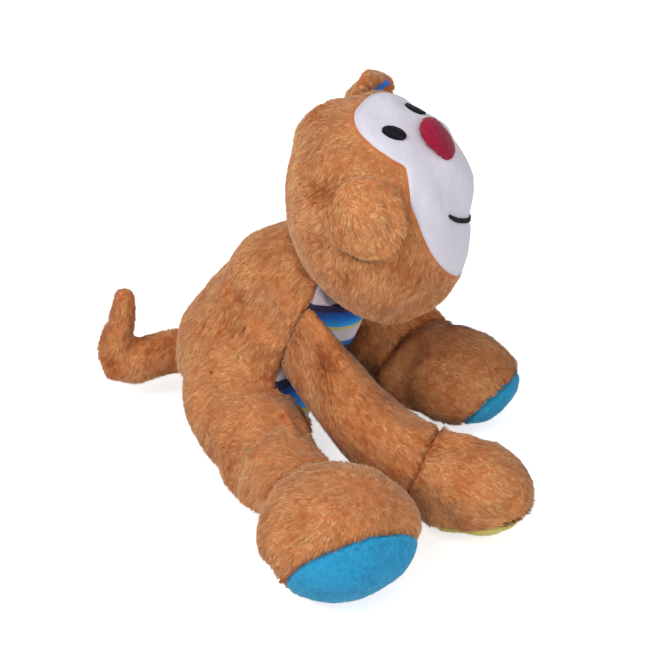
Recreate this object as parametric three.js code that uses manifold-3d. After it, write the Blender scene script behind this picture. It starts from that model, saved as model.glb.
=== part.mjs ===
// A plush monkey dog toy, sitting on its seat with its hands on the floor.
// Millimetres, +Z up. The seat's flat face is centred on the origin, the toy
// faces -Y and its right side is -X. Every cover is a fabric shell that is
// open where it is sewn to its neighbour, with its own stuffing inside.
import * as THREE from 'three';
import { mergeVertices } from 'three/addons/utils/BufferGeometryUtils.js';
import Module from 'manifold-3d';

const wasm = await Module();
wasm.setup();

// Fabric and seams
const FABRIC = 2.4; // backing and pile together
const SEAM_GAP = 0.3; // between pieces that are sewn or seated together
const FLOOR_FLAT = 0.5; // how far a form is flattened where it rests

// Torso, a pear that leans forward from the seat to the neck
const SEAT_RADIUS = 27;
const BELLY_RADIUS = 28;
const CHEST_RADIUS = 26.5;
const COLLAR_RADIUS = 21.5;
const BELLY_PLACE = [-1, -6, 39];
const CHEST_PLACE = [-3, -20.5, 58];
const COLLAR_PLACE = [-6, -32, 74];
const TUMMY_SEAM_HEIGHT = 57; // where the side seam passes the shoulders
const TUMMY_SEAM_FORWARD = 29;
const TUMMY_SEAM_LEAN = 16; // degrees from upright
const TUMMY_SEAM_TURN = 8; // degrees towards the toy's right

// Squeaker in the belly
const SQUEAKER_PLACE = [-2, -10, 47];
const SQUEAKER_RADIUS = 12;
const SQUEAKER_HALF_HEIGHT = 10;
const SQUEAKER_WALL = 1.2;
const SQUEAKER_MOUTH_RADIUS = 4.5;
const SQUEAKER_MOUTH_LENGTH = 4;
const REED_FLANGE = 1.5; // how far the reed's rim reaches past the mouth
const REED_RIM = 1.2; // thickness of that rim
const REED_HOLE_RADIUS = 1.5;
const SQUEAKER_ROOM = 1.2; // pocket around it in the stuffing

// Head, an egg that is wider than it is deep
const HEAD_PLACE = [-8, -51.3, 104.8];
const HEAD_HALF_WIDTH = 40.5;
const HEAD_HALF_DEPTH = 32.5;
const HEAD_HALF_HEIGHT = 42.5;
const HEAD_TURN = 13; // degrees to the toy's left
const HEAD_TILT = 22; // degrees back
const HEAD_LEAN = 8; // degrees over to the toy's left
const NECK_PLACE = [-6, -34, 76];
const NECK_RADIUS = 14.5;
const NECK_OPENING_RADIUS = 8;
const NOD_DOWN = 10; // degrees
const NOD_UP = 12;

// Face panel: a muzzle and two brows in one outline
const MUZZLE_HALF_WIDTH = 31;
const MUZZLE_HALF_HEIGHT = 31;
const MUZZLE_DROP = 0;
const BROW_HALF_WIDTH = 14;
const BROW_HALF_HEIGHT = 13;
const BROW_OUT = 9.5;
const BROW_UP = 27;
const NOSE_HALF_WIDTH = 9.5;
const NOSE_HALF_HEIGHT = 8.8;
const NOSE_STANDS = 4.5;
const NOSE_UP = 18.5;
const EYE_HALF_WIDTH = 3.4;
const EYE_HALF_HEIGHT = 3.4;
const EYE_OUT = 13;
const EYE_UP = 30.5;
const STITCH_RISE = 0.9; // embroidery stands this high
const SMILE_RADIUS = 23.7;
const SMILE_HALF_ANGLE = 57; // degrees
const SMILE_DROP = 14; // lowest point of the smile
const SMILE_WIDTH = 1.7;

// Ears, round flaps that curve with the head
const EAR_HALF_WIDTH = 13;
const EAR_HALF_HEIGHT = 14.5;
const EAR_THICKNESS = 3;
const EAR_LINING_THICKNESS = 1.6;
const EAR_LINING_INSET = 2.5;
const EAR_LEFT_FORWARD = 9;
const EAR_RIGHT_FORWARD = 4;
const EAR_LEFT_UP = 19;
const EAR_RIGHT_UP = 11;
const EAR_ROOT_RADIUS = 2.4;
const EAR_ROOT_HALF_LENGTH = 8;
const EAR_ROOT_SINK = 1.2;
const EAR_LEFT_OPEN = 72; // degrees out from the head
const EAR_RIGHT_OPEN = 0; // folded flat on the head

// Arms
const SHOULDER_RADIUS = 10.5; // drawn in where it is sewn to the side seam
const ARM_RADIUS = 15.6;
const WRIST_RADIUS = 13.6;
const WRIST_BACK = 19; // from the hand's centre to the wrist seam
const HAND_LENGTH = 50;
const HAND_WIDTH = 40;
const HAND_HEIGHT = 37;
const PALM_RIGHT_DOWN = 74; // degrees below level that the palm faces
const PALM_LEFT_DOWN = 40; // degrees
const PALM_RIGHT_OFFSET = 10.5; // from the hand's centre to the palm's seam
const PALM_LEFT_OFFSET = 15;
const SHOULDER_RIGHT_PLACE = [-30, -30, 57];
const SHOULDER_LEFT_PLACE = [26, -27, 57];
const HAND_RIGHT_PLACE = [-47, -97.4];
const HAND_LEFT_PLACE = [18.7, -75];
const ARM_LIFT = 36; // degrees that an arm swings up
const ARM_OPENING_RADIUS = 5.5; // hole at an arm's root, closed by the torso
const ARM_RIGHT_BOW = [-6, -8]; // outwards and up, at mid-arm
const ARM_LEFT_BOW = [13, -17];

// Legs
const HIP_RADIUS = 20;
const LEG_RADIUS = 17;
const ANKLE_RADIUS = 16.5;
const ANKLE_BACK = 24;
const FOOT_LENGTH = 54;
const FOOT_WIDTH = 59;
const FOOT_HEIGHT = 49.5;
const SOLE_DOWN = 31; // degrees below level that the sole faces
const SOLE_OFFSET = 12.4;
const HIP_OUT = 26;
const HIP_FORWARD = 2;
const FOOT_RIGHT_PLACE = [-93, -59.5];
const FOOT_LEFT_PLACE = [112, -22];
const LEG_RIGHT_BOW = [-2, -1];
const LEG_LEFT_BOW = [0, -1];
const LEG_LEFT_SWING = 12; // degrees to either side
const LEG_RIGHT_SWING = 30; // degrees back
const LEG_OPENING_RADIUS = 9; // hole at a leg's root, closed by the torso

// Tail, kinked up at its middle
const TAIL_ROOT_PLACE = [0, 27, 20.5];
const TAIL_KINK_PLACE = [-8, 50, 17];
const TAIL_TIP_PLACE = [-6, 50, 44];
const TAIL_ROOT_RADIUS = 9.5;
const TAIL_KINK_RADIUS = 9;
const TAIL_TIP_RADIUS = 5.5;
const TAIL_OPENING_RADIUS = 4;
const TAIL_SWING = 25; // degrees to either side

// Facets
const SIDES = 16;
const SOCKET_SIDES = 20;
const RINGS = 6;
const CAP_RINGS = 3;
const HEAD_SIDES = 22;
const HEAD_RINGS = 12;
const INNER_SIDES = 10;
const OUTLINE_STEPS = 16;
const STITCH_STEPS = 10;
const EAR_STEPS = 16;
const BULB_STEPS = 5;
const CUT_REACH = 300; // larger than the toy

const PLUSH = 0xc0804a;
const PLUSH_ROUGHNESS = 0.95;
const STUFFING = 0xf0efea;

const UP = new THREE.Vector3(0, 0, 1);
const ACROSS = new THREE.Vector3(1, 0, 0);
const radians = THREE.MathUtils.degToRad;
const point = (place) => new THREE.Vector3(...place);

// A solid from a closed geometry, placed by an optional matrix.
function solidOf(geometry, matrix = new THREE.Matrix4()) {
  const bare = new THREE.BufferGeometry();
  bare.setAttribute('position', geometry.getAttribute('position').clone());
  bare.setIndex(geometry.index);
  const welded = mergeVertices(bare).applyMatrix4(matrix);
  const mesh = new wasm.Mesh({
    numProp: 3,
    vertProperties: new Float32Array(welded.getAttribute('position').array),
    triVerts: new Uint32Array(welded.index.array),
  });
  return new wasm.Manifold(mesh);
}

// A named mesh from a solid.
function pieceOf(name, solid, color, roughness) {
  const cut = solid.getMesh();
  const geometry = new THREE.BufferGeometry();
  geometry.setAttribute('position', new THREE.BufferAttribute(cut.vertProperties, 3));
  geometry.setIndex(new THREE.BufferAttribute(cut.triVerts, 1));
  geometry.computeVertexNormals();
  const material = new THREE.MeshStandardMaterial({ color, roughness, metalness: 0 });
  const mesh = new THREE.Mesh(geometry, material);
  mesh.name = name;
  return mesh;
}

// A matrix whose Z axis points along a direction, at a place.
function aimed(place, direction) {
  const turn = new THREE.Quaternion().setFromUnitVectors(UP, direction.clone().normalize());
  return new THREE.Matrix4().compose(place, turn, new THREE.Vector3(1, 1, 1));
}

function ball(place, radius, sides = SIDES) {
  const sphere = new THREE.SphereGeometry(radius, sides, Math.round(sides * 0.6));
  return solidOf(sphere, new THREE.Matrix4().makeTranslation(place));
}

// A round socket whose flats stay clear of a ball of this radius.
function socket(place, radius) {
  return ball(place, (radius + SEAM_GAP) / Math.cos(Math.PI / SOCKET_SIDES), SOCKET_SIDES);
}

// A solid turned about an axis through a place.
function swung(solid, place, axis, degrees) {
  const swing = new THREE.Matrix4().makeTranslation(place);
  swing.multiply(new THREE.Matrix4().makeRotationAxis(axis, radians(degrees)));
  swing.multiply(new THREE.Matrix4().makeTranslation(place.clone().negate()));
  return solid.transform(swing.toArray());
}

function ellipsoid(frame, halves, sides, rings) {
  const sphere = new THREE.SphereGeometry(1, sides, rings);
  const scale = new THREE.Matrix4().makeScale(...halves);
  return solidOf(sphere, new THREE.Matrix4().multiplyMatrices(frame, scale));
}

// A rod along a direction, from its start.
function rod(start, direction, radius, length) {
  const frame = aimed(start, direction);
  frame.multiply(new THREE.Matrix4().makeRotationX(Math.PI / 2));
  frame.multiply(new THREE.Matrix4().makeTranslation(0, length / 2, 0));
  return solidOf(new THREE.CylinderGeometry(radius, radius, length, SIDES), frame);
}

// Everything past a plane, on the side its normal points to.
function beyond(place, normal) {
  const block = new THREE.BoxGeometry(CUT_REACH, CUT_REACH, CUT_REACH);
  block.translate(0, 0, CUT_REACH / 2);
  return solidOf(block, aimed(place, normal));
}

// A stuffed form: round rings along a smooth path, closed by domed ends.
function stuffedForm(places, radii, sides) {
  const path = new THREE.CatmullRomCurve3(places, false, 'centripetal');
  const girth = new THREE.SplineCurve(radii.map((r, i) => new THREE.Vector2(i, r)));
  const rings = [];
  const addRing = (centre, tangent, radius) => {
    const last = rings.length ? rings[rings.length - 1].normal : new THREE.Vector3(1, 0, 0);
    const normal = last.clone().addScaledVector(tangent, -last.dot(tangent)).normalize();
    rings.push({ centre, normal, side: tangent.clone().cross(normal), radius });
  };
  const addCap = (t, sign) => {
    const tangent = path.getTangent(t);
    const radius = girth.getPoint(t).y;
    for (let k = 1; k < CAP_RINGS; k += 1) {
      const step = sign < 0 ? CAP_RINGS - k : k;
      const angle = (step / CAP_RINGS) * (Math.PI / 2);
      const centre = path.getPoint(t).addScaledVector(tangent, sign * radius * Math.sin(angle));
      addRing(centre, tangent, radius * Math.cos(angle));
    }
    return path.getPoint(t).addScaledVector(tangent, sign * radius);
  };
  const tail = addCap(0, -1);
  for (let i = 0; i <= RINGS; i += 1) {
    const t = i / RINGS;
    addRing(path.getPoint(t), path.getTangent(t), girth.getPoint(t).y);
  }
  const tip = addCap(1, 1);

  const vertices = [];
  for (const ring of rings) {
    for (let j = 0; j < sides; j += 1) {
      const angle = (j / sides) * 2 * Math.PI;
      const v = ring.centre.clone();
      v.addScaledVector(ring.normal, ring.radius * Math.cos(angle));
      v.addScaledVector(ring.side, ring.radius * Math.sin(angle));
      vertices.push(v.x, v.y, v.z);
    }
  }
  const tailIndex = rings.length * sides;
  const tipIndex = tailIndex + 1;
  vertices.push(tail.x, tail.y, tail.z, tip.x, tip.y, tip.z);
  const faces = [];
  for (let j = 0; j < sides; j += 1) {
    const k = (j + 1) % sides;
    faces.push(tailIndex, k, j);
    for (let i = 0; i < rings.length - 1; i += 1) {
      const here = i * sides;
      const next = here + sides;
      faces.push(here + j, here + k, next + j, here + k, next + k, next + j);
    }
    const end = (rings.length - 1) * sides;
    faces.push(tipIndex, end + j, end + k);
  }
  const geometry = new THREE.BufferGeometry();
  geometry.setAttribute('position', new THREE.Float32BufferAttribute(vertices, 3));
  geometry.setIndex(faces);
  return solidOf(geometry);
}

// A form in layers, all by one recipe: the room it needs in its neighbours, its
// outer skin, the inside of its fabric and its stuffing.
function layersOf(make) {
  return {
    room: make(-SEAM_GAP, SIDES),
    outer: make(0, SIDES),
    inner: make(FABRIC, INNER_SIDES),
    filling: make(FABRIC + SEAM_GAP, INNER_SIDES),
  };
}

const floor = beyond(new THREE.Vector3(0, 0, 0), UP.clone().negate());
const fillingFloor = beyond(new THREE.Vector3(0, 0, FABRIC + SEAM_GAP), UP.clone().negate());
const fabricFloor = beyond(new THREE.Vector3(0, 0, FABRIC), UP.clone().negate());
const rest = (layers) => ({
  room: layers.room,
  outer: layers.outer.subtract(floor),
  inner: layers.inner.subtract(fabricFloor),
  filling: layers.filling.subtract(fillingFloor),
});

const pieces = [];
const add = (name, solid, color, roughness) => {
  pieces.push(pieceOf(name, solid, color, roughness));
};

// Head frame: X to the toy's left, -Y out of the face, Z to the crown
const headTurn = new THREE.Euler(radians(-HEAD_TILT), radians(HEAD_LEAN), radians(HEAD_TURN), 'ZXY');
const headFrame = new THREE.Matrix4().makeRotationFromEuler(headTurn).setPosition(...HEAD_PLACE);
const headHalves = [HEAD_HALF_WIDTH, HEAD_HALF_DEPTH, HEAD_HALF_HEIGHT];
const headSkin = (offset, sides = HEAD_SIDES, rings = HEAD_RINGS) =>
  ellipsoid(headFrame, headHalves.map((half) => half + offset), sides, rings);
const neck = point(NECK_PLACE);

// How far forward of the head's middle its skin lies, at a place on the face.
function faceDepth(across, up) {
  const spent = (across / HEAD_HALF_WIDTH) ** 2 + (up / HEAD_HALF_HEIGHT) ** 2;
  return HEAD_HALF_DEPTH * Math.sqrt(1 - spent);
}

// A flat outline on the face, drawn across and up, run forward from the head's middle.
function faceBlock(shape, curveSegments = OUTLINE_STEPS) {
  const steps = { depth: CUT_REACH, bevelEnabled: false, curveSegments };
  const block = new THREE.ExtrudeGeometry(shape, steps).rotateX(Math.PI / 2);
  return solidOf(block, headFrame);
}

function ovalShape(across, up, halfWidth, halfHeight) {
  return new THREE.Shape().absellipse(across, up, halfWidth, halfHeight, 0, 2 * Math.PI);
}

function faceOutline(grow) {
  const muzzle = ovalShape(0, -MUZZLE_DROP, MUZZLE_HALF_WIDTH + grow, MUZZLE_HALF_HEIGHT + grow);
  const brow = (side) =>
    faceBlock(ovalShape(side * BROW_OUT, BROW_UP, BROW_HALF_WIDTH + grow, BROW_HALF_HEIGHT + grow));
  return faceBlock(muzzle).add(brow(1)).add(brow(-1));
}

// Ear: a flap of the head's own curve, hinged on a rolled root behind it.
const earUp = (side) => (side > 0 ? EAR_LEFT_UP : EAR_RIGHT_UP);
const earForward = (side) => (side > 0 ? EAR_LEFT_FORWARD : EAR_RIGHT_FORWARD);
function headSide(back, up) {
  const spent = (back / HEAD_HALF_DEPTH) ** 2 + (up / HEAD_HALF_HEIGHT) ** 2;
  return HEAD_HALF_WIDTH * Math.sqrt(1 - spent);
}
function earPlace(side) {
  const forward = earForward(side);
  return new THREE.Vector3(side * headSide(forward, earUp(side)), -forward, earUp(side));
}
function earRootPlace(side) {
  const back = EAR_HALF_WIDTH - earForward(side);
  const out = headSide(back, earUp(side)) + EAR_ROOT_RADIUS - EAR_ROOT_SINK;
  return new THREE.Vector3(side * out, back, earUp(side));
}
const earLayer = SEAM_GAP + EAR_LINING_THICKNESS + SEAM_GAP;

// An ear's root line, upwards along the side of the head.
function earLine(side) {
  const out = headSide(EAR_HALF_WIDTH - earForward(side), earUp(side));
  const slope = -(earUp(side) / out) * (HEAD_HALF_WIDTH / HEAD_HALF_HEIGHT) ** 2;
  return new THREE.Vector3(side * slope, 0, 1).transformDirection(headFrame);
}

function earRoot(side, grow) {
  const line = earLine(side);
  const middle = earRootPlace(side).applyMatrix4(headFrame);
  const start = middle.clone().addScaledVector(line, -EAR_ROOT_HALF_LENGTH - grow);
  return rod(start, line, EAR_ROOT_RADIUS + grow, 2 * (EAR_ROOT_HALF_LENGTH + grow));
}

function earFlap(side, low, high, inset, rootGap) {
  const halfWidth = EAR_HALF_WIDTH - inset;
  const halfHeight = EAR_HALF_HEIGHT - inset;
  const oval = ovalShape(0, 0, halfWidth, halfHeight);
  const place = earPlace(side);
  const depth = 2 * Math.abs(place.x); // from outside the ear to the head's middle
  const steps = { depth, bevelEnabled: false, curveSegments: EAR_STEPS };
  const block = new THREE.ExtrudeGeometry(oval, steps);
  const sideways = new THREE.Matrix4().makeBasis(
    new THREE.Vector3(0, -side, 0),
    new THREE.Vector3(0, 0, 1),
    new THREE.Vector3(-side, 0, 0),
  );
  const frame = new THREE.Matrix4().makeTranslation(2 * place.x, place.y, place.z).multiply(sideways);
  frame.premultiply(headFrame);
  const near = beyond(
    earRootPlace(side).applyMatrix4(headFrame),
    new THREE.Vector3(0, 1, 0).transformDirection(headFrame),
  );
  const flap = headSkin(high).subtract(headSkin(low)).intersect(solidOf(block, frame)).subtract(near);
  return rootGap ? flap.subtract(earRoot(side, rootGap)) : flap.add(earRoot(side, 0));
}

// Opens an ear about its root, away from the head.
function openEar(solid, side, degrees) {
  const root = earRootPlace(side).applyMatrix4(headFrame);
  return swung(solid, root, earLine(side), side * degrees);
}

function addEar(name, side, degrees) {
  const lining = earFlap(side, SEAM_GAP, SEAM_GAP + EAR_LINING_THICKNESS, EAR_LINING_INSET, SEAM_GAP);
  const back = earFlap(side, earLayer, earLayer + EAR_THICKNESS, 0, 0);
  add(name, openEar(back, side, degrees), PLUSH, PLUSH_ROUGHNESS);
  add(`${name}_lining`, openEar(lining, side, degrees), 0x2160c8, 0.9);
}

// Head with its neck, in layers
const headLayers = layersOf((inset, sides) => {
  const rings = Math.round(sides * 0.7);
  const skin = inset ? headSkin(-inset, sides + CAP_RINGS, rings) : headSkin(0);
  return skin.add(ball(neck, NECK_RADIUS - inset, sides));
});
const headCentre = point(HEAD_PLACE);
const neckAxis = neck.clone().sub(headCentre).normalize();
const neckMouth = rod(neck, neckAxis, NECK_OPENING_RADIUS, NECK_RADIUS * 2);
const headShell = headLayers.outer
  .subtract(headLayers.inner)
  .subtract(neckMouth)
  .subtract(earRoot(1, SEAM_GAP))
  .subtract(earRoot(-1, SEAM_GAP));
add('head_cover', headShell.subtract(faceOutline(SEAM_GAP)), PLUSH, PLUSH_ROUGHNESS);
add('face_panel', headShell.intersect(faceOutline(0)), 0xe9e6ef, 0.9);
add('head_stuffing', headLayers.filling, STUFFING, 1);

const noseSeat = new THREE.Vector3(0, -faceDepth(0, NOSE_UP), NOSE_UP).applyMatrix4(headFrame);
const noseFrame = headFrame.clone().setPosition(noseSeat);
const noseHalves = [NOSE_HALF_WIDTH, NOSE_STANDS, NOSE_HALF_HEIGHT];
const nose = ellipsoid(noseFrame, noseHalves, SIDES, Math.round(SIDES * 0.6));
add('nose', nose.subtract(headSkin(SEAM_GAP)), 0xb02045, 0.95);

const stitchLayer = headSkin(SEAM_GAP + STITCH_RISE).subtract(headSkin(SEAM_GAP));
const eye = (side) => {
  const oval = ovalShape(side * EYE_OUT, EYE_UP, EYE_HALF_WIDTH, EYE_HALF_HEIGHT);
  return stitchLayer.intersect(faceBlock(oval, STITCH_STEPS));
};
add('eye_left', eye(1), 0x14141a, 0.6);
add('eye_right', eye(-1), 0x14141a, 0.6);

const smileCentre = SMILE_RADIUS - SMILE_DROP;
const smileArc = new THREE.Shape();
const smileFrom = radians(-90 - SMILE_HALF_ANGLE);
const smileTo = radians(-90 + SMILE_HALF_ANGLE);
smileArc.absarc(0, smileCentre, SMILE_RADIUS, smileFrom, smileTo, false);
smileArc.absarc(0, smileCentre, SMILE_RADIUS - SMILE_WIDTH, smileTo, smileFrom, true);
add('smile', stitchLayer.intersect(faceBlock(smileArc, STITCH_STEPS)), 0x17171c, 0.6);

addEar('ear_left', 1, EAR_LEFT_OPEN);
addEar('ear_right', -1, EAR_RIGHT_OPEN);

const seat = new THREE.Vector3(0, 0, SEAT_RADIUS - FLOOR_FLAT);

// Limbs: a form from its root on the torso to a hand or foot, in layers
function limb({ root, core, opening, rootRadius, radius, endRadius, end, halves, bow, seamBack, down, padOffset }) {
  const centre = new THREE.Vector3(end[0], end[1], halves[2] - FLOOR_FLAT);
  const middle = root.clone().lerp(centre, 0.5);
  middle.addScaledVector(ACROSS, bow[0]).addScaledVector(UP, bow[1]);
  const heading = centre.clone().sub(root).setZ(0).normalize();
  const across = UP.clone().cross(heading);
  const endFrame = new THREE.Matrix4().makeBasis(across.clone().negate(), heading, UP);
  endFrame.setPosition(centre);
  const layers = rest(layersOf((inset, sides) => {
    const radii = [rootRadius - inset, radius - inset, endRadius - inset];
    const tube = stuffedForm([root, middle, centre], radii, sides);
    const endHalves = halves.map((half) => half - inset);
    return tube.add(ellipsoid(endFrame, endHalves, sides, Math.round(sides * 0.6)));
  }));
  const along = centre.clone().sub(middle).normalize();
  const seam = centre.clone().addScaledVector(along, -seamBack);
  const facing = heading.clone().multiplyScalar(Math.cos(radians(down)));
  facing.addScaledVector(UP, -Math.sin(radians(down)));
  const padSeam = (gap) => beyond(centre.clone().addScaledVector(facing, padOffset - gap), facing);
  const inward = core.clone().sub(root).normalize();
  const mouth = rod(root, inward, opening, rootRadius * 2);
  const shell = layers.outer.subtract(layers.inner).subtract(mouth);
  const endPart = beyond(seam.clone().addScaledVector(along, SEAM_GAP), along);
  return {
    root,
    rootRadius,
    room: layers.room,
    cover: shell.subtract(beyond(seam, along)),
    end: shell.intersect(endPart).subtract(padSeam(SEAM_GAP)),
    pad: shell.intersect(endPart).intersect(padSeam(0)),
    filling: layers.filling,
  };
}

const arm = (place, hand, bow, down, padOffset) => limb({
  root: point(place),
  core: point(CHEST_PLACE),
  opening: ARM_OPENING_RADIUS,
  rootRadius: SHOULDER_RADIUS,
  radius: ARM_RADIUS,
  endRadius: WRIST_RADIUS,
  end: hand,
  halves: [HAND_WIDTH / 2, HAND_LENGTH / 2, HAND_HEIGHT / 2],
  bow,
  seamBack: WRIST_BACK,
  down,
  padOffset,
});
const leg = (side, foot, bow) => limb({
  root: new THREE.Vector3(side * HIP_OUT, -HIP_FORWARD, HIP_RADIUS - FLOOR_FLAT),
  core: seat,
  opening: LEG_OPENING_RADIUS,
  rootRadius: HIP_RADIUS,
  radius: LEG_RADIUS,
  endRadius: ANKLE_RADIUS,
  end: foot,
  halves: [FOOT_WIDTH / 2, FOOT_LENGTH / 2, FOOT_HEIGHT / 2],
  bow,
  seamBack: ANKLE_BACK,
  down: SOLE_DOWN,
  padOffset: SOLE_OFFSET,
});
const armRight = arm(SHOULDER_RIGHT_PLACE, HAND_RIGHT_PLACE, ARM_RIGHT_BOW, PALM_RIGHT_DOWN, PALM_RIGHT_OFFSET);
const armLeft = arm(SHOULDER_LEFT_PLACE, HAND_LEFT_PLACE, ARM_LEFT_BOW, PALM_LEFT_DOWN, PALM_LEFT_OFFSET);
const legRight = leg(-1, FOOT_RIGHT_PLACE, LEG_RIGHT_BOW);
const legLeft = leg(1, FOOT_LEFT_PLACE, LEG_LEFT_BOW);
const BLUE = 0x2f97c8;
const YELLOW = 0xd8cf5a;
const addLimb = (made, side, [cover, end, pad, filling], padColor) => {
  add(`${cover}_${side}`, made.cover, PLUSH, PLUSH_ROUGHNESS);
  add(`${end}_${side}`, made.end, PLUSH, PLUSH_ROUGHNESS);
  add(`${pad}_${side}`, made.pad, padColor, 0.9);
  add(`${filling}_${side}`, made.filling, STUFFING, 1);
};
const ARM_NAMES = ['sleeve', 'hand', 'palm', 'arm_stuffing'];
const LEG_NAMES = ['leg', 'foot', 'sole', 'leg_stuffing'];
addLimb(armRight, 'right', ARM_NAMES, YELLOW);
addLimb(armLeft, 'left', ARM_NAMES, BLUE);
addLimb(legRight, 'right', LEG_NAMES, BLUE);
addLimb(legLeft, 'left', LEG_NAMES, YELLOW);

// Tail
const tailRoot = point(TAIL_ROOT_PLACE);
const tailKink = point(TAIL_KINK_PLACE);
const tailLayers = layersOf((inset, sides) => {
  const radii = [TAIL_ROOT_RADIUS, TAIL_KINK_RADIUS, TAIL_TIP_RADIUS].map((r) => r - inset);
  return stuffedForm([tailRoot, tailKink, point(TAIL_TIP_PLACE)], radii, sides);
});
const tailInward = tailRoot.clone().sub(tailKink).normalize();
const tailMouth = rod(tailRoot, tailInward, TAIL_OPENING_RADIUS, TAIL_ROOT_RADIUS * 2);
add('tail_cover', tailLayers.outer.subtract(tailLayers.inner).subtract(tailMouth), PLUSH, PLUSH_ROUGHNESS);
add('tail_stuffing', tailLayers.filling, STUFFING, 1);

// Torso, cut to seat the limb roots, the tail and the nodding head
const torsoPlaces = [seat, point(BELLY_PLACE), point(CHEST_PLACE), point(COLLAR_PLACE)];
const torsoRadii = [SEAT_RADIUS, BELLY_RADIUS, CHEST_RADIUS, COLLAR_RADIUS];
const torsoLayers = rest(layersOf((inset, sides) =>
  stuffedForm(torsoPlaces, torsoRadii.map((r) => r - inset), sides + CAP_RINGS)));

const headRoom = headSkin(SEAM_GAP);
let sockets = socket(neck, NECK_RADIUS).add(headRoom);
for (const angle of [NOD_DOWN, -NOD_UP]) {
  sockets = sockets.add(swung(headRoom, neck, ACROSS, angle));
}
for (const part of [armRight, armLeft, legRight, legLeft]) {
  sockets = sockets.add(socket(part.root, part.rootRadius)).add(part.room);
}
for (const part of [armRight, armLeft]) {
  sockets = sockets.add(swung(part.room, part.root, ACROSS, -ARM_LIFT / 2));
  sockets = sockets.add(swung(part.room, part.root, ACROSS, -ARM_LIFT));
}
sockets = sockets.add(socket(tailRoot, TAIL_ROOT_RADIUS));
sockets = sockets.add(swung(legRight.room, legRight.root, UP, -LEG_RIGHT_SWING));
for (const side of [-1, 1]) {
  sockets = sockets.add(swung(legLeft.room, legLeft.root, UP, side * LEG_LEFT_SWING));
  sockets = sockets.add(swung(tailLayers.room, tailRoot, UP, side * TAIL_SWING));
}

const torsoShell = torsoLayers.outer.subtract(torsoLayers.inner).subtract(sockets);
const tummyOut = new THREE.Vector3(0, -Math.cos(radians(TUMMY_SEAM_LEAN)), -Math.sin(radians(TUMMY_SEAM_LEAN)));
tummyOut.applyAxisAngle(UP, -radians(TUMMY_SEAM_TURN));
const seamPlace = new THREE.Vector3(CHEST_PLACE[0], -TUMMY_SEAM_FORWARD, TUMMY_SEAM_HEIGHT);
const tummySide = (gap) => beyond(seamPlace.clone().addScaledVector(tummyOut, -gap), tummyOut);
add('torso_back', torsoShell.subtract(tummySide(SEAM_GAP)), PLUSH, PLUSH_ROUGHNESS);
add('tummy_panel', torsoShell.intersect(tummySide(0)), 0x6f83b5, 0.85);

// Squeaker: a bulb with a mouth, its reed plugged into the mouth
const squeakerFrame = aimed(point(SQUEAKER_PLACE), tummyOut);
const squeakerAxis = new THREE.Matrix4().makeRotationX(Math.PI / 2);
function bulbProfile(inset, end) {
  const mouth = SQUEAKER_MOUTH_RADIUS - inset;
  const radius = SQUEAKER_RADIUS - inset;
  const half = SQUEAKER_HALF_HEIGHT - inset;
  const from = Math.asin(mouth / radius);
  const outline = [];
  for (let i = 0; i <= BULB_STEPS; i += 1) {
    const angle = Math.PI - (i / BULB_STEPS) * (Math.PI - from);
    const across = i === 0 ? 0 : radius * Math.sin(angle);
    outline.push(new THREE.Vector2(across, half * Math.cos(angle)));
  }
  outline.push(new THREE.Vector2(mouth, end));
  return outline;
}
const mouthEnd = SQUEAKER_HALF_HEIGHT + SQUEAKER_MOUTH_LENGTH;
const bulbOutline = [
  ...bulbProfile(0, mouthEnd),
  ...bulbProfile(SQUEAKER_WALL, mouthEnd).reverse(),
];
const spun = (outline) => solidOf(
  new THREE.LatheGeometry(outline, SIDES),
  squeakerFrame.clone().multiply(squeakerAxis),
);
add('squeaker_bladder', spun(bulbOutline), 0xd9d7cf, 0.7);
const plugRadius = SQUEAKER_MOUTH_RADIUS - SQUEAKER_WALL - SEAM_GAP;
const rimLow = mouthEnd + SEAM_GAP;
const rimRadius = SQUEAKER_MOUTH_RADIUS + REED_FLANGE;
const reedOutline = [
  [REED_HOLE_RADIUS, SQUEAKER_HALF_HEIGHT],
  [plugRadius, SQUEAKER_HALF_HEIGHT],
  [plugRadius, rimLow],
  [rimRadius, rimLow],
  [rimRadius, rimLow + REED_RIM],
  [REED_HOLE_RADIUS, rimLow + REED_RIM],
  [REED_HOLE_RADIUS, SQUEAKER_HALF_HEIGHT],
].map(([across, along]) => new THREE.Vector2(across, along));
add('squeaker_reed', spun(reedOutline), 0xf2f2ee, 0.5);

// The torso's stuffing leaves a pocket for the squeaker, open towards the tummy
const pocketHalves = [SQUEAKER_RADIUS, SQUEAKER_RADIUS, SQUEAKER_HALF_HEIGHT].map((half) => half + SQUEAKER_ROOM);
const pocket = ellipsoid(squeakerFrame, pocketHalves, INNER_SIDES + CAP_RINGS, INNER_SIDES);
const passage = rod(point(SQUEAKER_PLACE), tummyOut, rimRadius + SQUEAKER_ROOM, CUT_REACH);
let hollows = pocket.add(passage);
for (const angle of [NOD_DOWN, -NOD_UP]) {
  const room = headSkin(SEAM_GAP + FABRIC, SIDES, Math.round(SIDES * 0.6));
  hollows = hollows.add(swung(room, neck, ACROSS, angle));
}
const roots = [armRight, armLeft, legRight, legLeft].map((part) => [part.root, part.rootRadius]);
roots.push([neck, NECK_RADIUS], [tailRoot, TAIL_ROOT_RADIUS]);
for (const [place, radius] of roots) {
  hollows = hollows.add(ball(place, radius + SEAM_GAP + FABRIC, SIDES));
}
add('torso_stuffing', torsoLayers.filling.subtract(hollows), STUFFING, 1);

const toy = new THREE.Group();
toy.add(...pieces);
export default toy;
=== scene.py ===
import math
from functools import cache

import bpy
import numpy as np
from mathutils import Matrix, Vector, kdtree
from mathutils.bvhtree import BVHTree


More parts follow.
